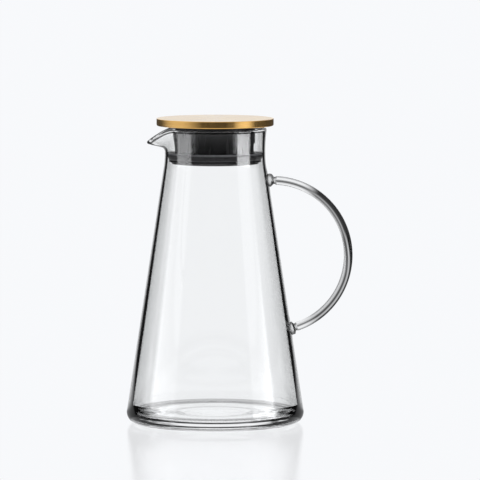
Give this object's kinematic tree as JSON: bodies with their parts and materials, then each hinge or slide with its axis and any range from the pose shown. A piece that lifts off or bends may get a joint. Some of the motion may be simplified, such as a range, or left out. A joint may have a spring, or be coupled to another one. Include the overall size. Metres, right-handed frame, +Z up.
{
  "type": "carafe with lid",
  "caption": "Cone-shaped clear glass carafe with a pulled spout, a bent glass rod handle and a metal-topped lid that lifts out and turns to pour freely, strain or close.",
  "frame": {"origin": "centre of the base's flat underside", "axes": "+Z up, handle along +X, spout along -X"},
  "size_m": [0.1912, 0.15, 0.258],
  "materials": {
    "clear_glass": "clear, fire polished",
    "gold_steel": "gold-coloured, circular brushed",
    "dark_gloss": "glossy near-black",
    "dark_core": "satin black",
    "screw_steel": "plain steel",
    "grey_silicone": "translucent dark grey silicone"
  },
  "bodies": {
    "carafe": {"carafe_body": "clear_glass", "handle_rod": "clear_glass", "handle_upper_weld": "clear_glass", "handle_lower_weld": "clear_glass"},
    "seal": {"seal_ring": "grey_silicone"},
    "lid": {"lid_cap": "gold_steel", "lid_core": "dark_core", "lid_collar": "dark_gloss", "lid_screws": "screw_steel"}
  },
  "joints": [
    {"name": "lid_lift", "type": "slide", "parent": "carafe", "child": "seal", "axis": [0, 0, 1], "range_m": [0, 0.06]},
    {"name": "lid_turn", "type": "hinge", "parent": "seal", "child": "lid", "pos_m": [0, 0, 0.25], "axis": [0, 0, 1], "continuous": true}
  ]
}
